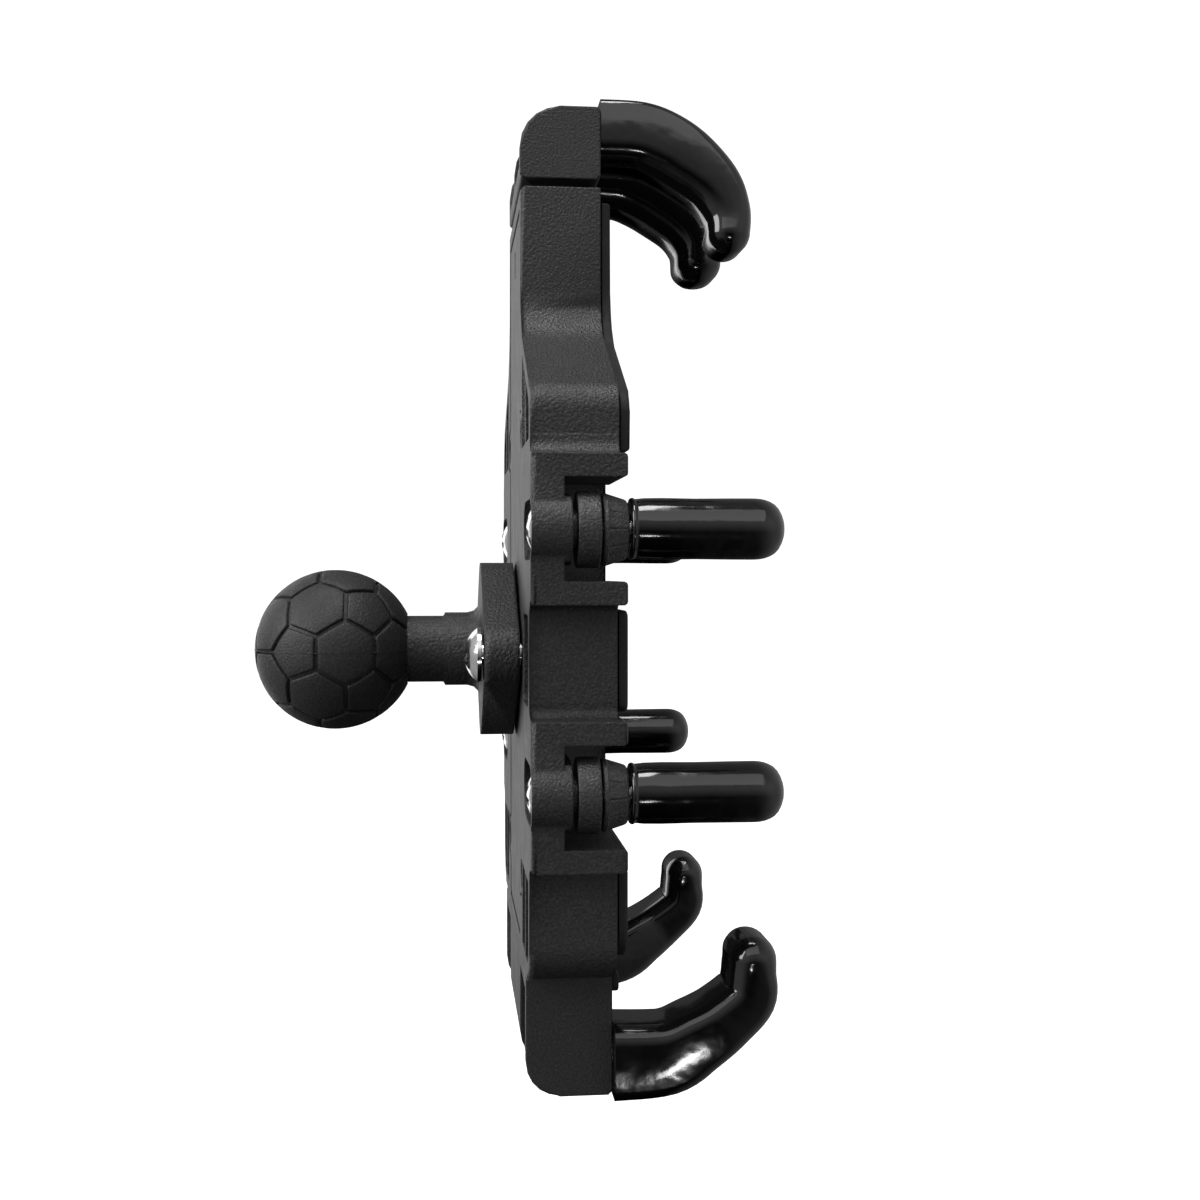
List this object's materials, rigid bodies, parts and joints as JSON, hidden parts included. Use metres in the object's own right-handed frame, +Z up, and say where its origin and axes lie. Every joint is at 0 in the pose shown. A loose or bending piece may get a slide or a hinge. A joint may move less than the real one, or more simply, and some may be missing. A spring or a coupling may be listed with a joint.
{
  "type": "phone mount",
  "caption": "Sprung phone cradle with dipped hooks on two sliding jaws, side posts in channelled ears, and a rubber-covered ball on a diamond base.",
  "frame": {"origin": "centre of the rubber-covered ball behind the cradle", "axes": "+Z up along the cradle's height, -Y towards the phone, +X to the phone side's right when seen from -Y"},
  "size_m": [0.0908, 0.0768, 0.1463],
  "materials": {
    "frame_plastic": "fine-grained black glass-filled nylon",
    "cover_plastic": "fine-grained black plastic",
    "jaw_plastic": "fine-grained black glass-filled nylon",
    "collar_plastic": "satin black plastic",
    "pad_rubber": "matte black rubber",
    "ball_rubber": "matte black rubber with moulded grooves",
    "vinyl": "thick glossy black dipped vinyl",
    "base_casting": "pebbled black powder coat",
    "bright_steel": "plated screws",
    "dull_steel": "zinc-plated inner steel"
  },
  "bodies": {
    "frame": {"frame_body": "frame_plastic", "rear_cover": "cover_plastic", "pad_upper": "pad_rubber", "pad_middle": "pad_rubber", "pad_lower": "pad_rubber", "ball_base": "base_casting", "ball_cover": "ball_rubber", "base_screw_left": "bright_steel", "base_screw_right": "bright_steel", "base_nut_left": "dull_steel", "base_nut_right": "dull_steel", "cover_screw_upper_left": "bright_steel", "cover_screw_upper_right": "bright_steel", "cover_screw_lower_left": "bright_steel", "cover_screw_lower_right": "bright_steel", "spring_anchor_pin": "dull_steel", "upper_spring": "dull_steel", "lower_spring": "dull_steel"},
    "upper_jaw": {"upper_jaw": "jaw_plastic", "upper_spring_pin": "dull_steel", "upper_hook_core_left": "dull_steel", "upper_hook_core_right": "dull_steel", "upper_hook_sleeve_left": "vinyl", "upper_hook_sleeve_right": "vinyl"},
    "lower_jaw": {"lower_jaw": "jaw_plastic", "lower_jaw_pad": "pad_rubber", "lower_spring_pin": "dull_steel", "lower_hook_core_left": "dull_steel", "lower_hook_core_right": "dull_steel", "lower_hook_sleeve_left": "vinyl", "lower_hook_sleeve_right": "vinyl"},
    "post_upper_left": {"post_upper_left_screw": "bright_steel", "post_upper_left_collar": "collar_plastic", "post_upper_left_cap": "vinyl"},
    "post_upper_right": {"post_upper_right_screw": "bright_steel", "post_upper_right_collar": "collar_plastic", "post_upper_right_cap": "vinyl"},
    "post_lower_left": {"post_lower_left_screw": "bright_steel", "post_lower_left_collar": "collar_plastic", "post_lower_left_cap": "vinyl"},
    "post_lower_right": {"post_lower_right_screw": "bright_steel", "post_lower_right_collar": "collar_plastic", "post_lower_right_cap": "vinyl"},
    "nut_upper_left": {"post_upper_left_clamp_nut": "collar_plastic"},
    "nut_upper_right": {"post_upper_right_clamp_nut": "collar_plastic"},
    "nut_lower_left": {"post_lower_left_clamp_nut": "collar_plastic"},
    "nut_lower_right": {"post_lower_right_clamp_nut": "collar_plastic"}
  },
  "joints": [
    {"name": "upper_jaw_slide", "type": "slide", "parent": "frame", "child": "upper_jaw", "axis": [0, 0, 1], "range_m": [0, 0.03], "stiffness_N_per_m": 300, "springref_m": -0.03, "deforming": ["upper_spring"]},
    {"name": "lower_jaw_slide", "type": "slide", "parent": "frame", "child": "lower_jaw", "axis": [0, 0, -1], "range_m": [0, 0.02], "stiffness_N_per_m": 300, "springref_m": -0.03, "deforming": ["lower_spring"]},
    {"name": "post_upper_left_slide", "type": "slide", "parent": "frame", "child": "post_upper_left", "axis": [1, 0, 0], "range_m": [0, 0.009]},
    {"name": "post_upper_right_slide", "type": "slide", "parent": "frame", "child": "post_upper_right", "axis": [-1, 0, 0], "range_m": [0, 0.009]},
    {"name": "post_lower_left_slide", "type": "slide", "parent": "frame", "child": "post_lower_left", "axis": [1, 0, 0], "range_m": [0, 0.009]},
    {"name": "post_lower_right_slide", "type": "slide", "parent": "frame", "child": "post_lower_right", "axis": [-1, 0, 0], "range_m": [0, 0.009]},
    {"name": "nut_upper_left_spin", "type": "hinge", "parent": "post_upper_left", "child": "nut_upper_left", "pos_m": [-0.04, -0.04, 0.018], "axis": [0, -1, 0], "continuous": true},
    {"name": "nut_upper_right_spin", "type": "hinge", "parent": "post_upper_right", "child": "nut_upper_right", "pos_m": [0.04, -0.04, 0.018], "axis": [0, -1, 0], "continuous": true},
    {"name": "nut_lower_left_spin", "type": "hinge", "parent": "post_lower_left", "child": "nut_lower_left", "pos_m": [-0.04, -0.04, -0.018], "axis": [0, -1, 0], "continuous": true},
    {"name": "nut_lower_right_spin", "type": "hinge", "parent": "post_lower_right", "child": "nut_lower_right", "pos_m": [0.04, -0.04, -0.018], "axis": [0, -1, 0], "continuous": true}
  ]
}
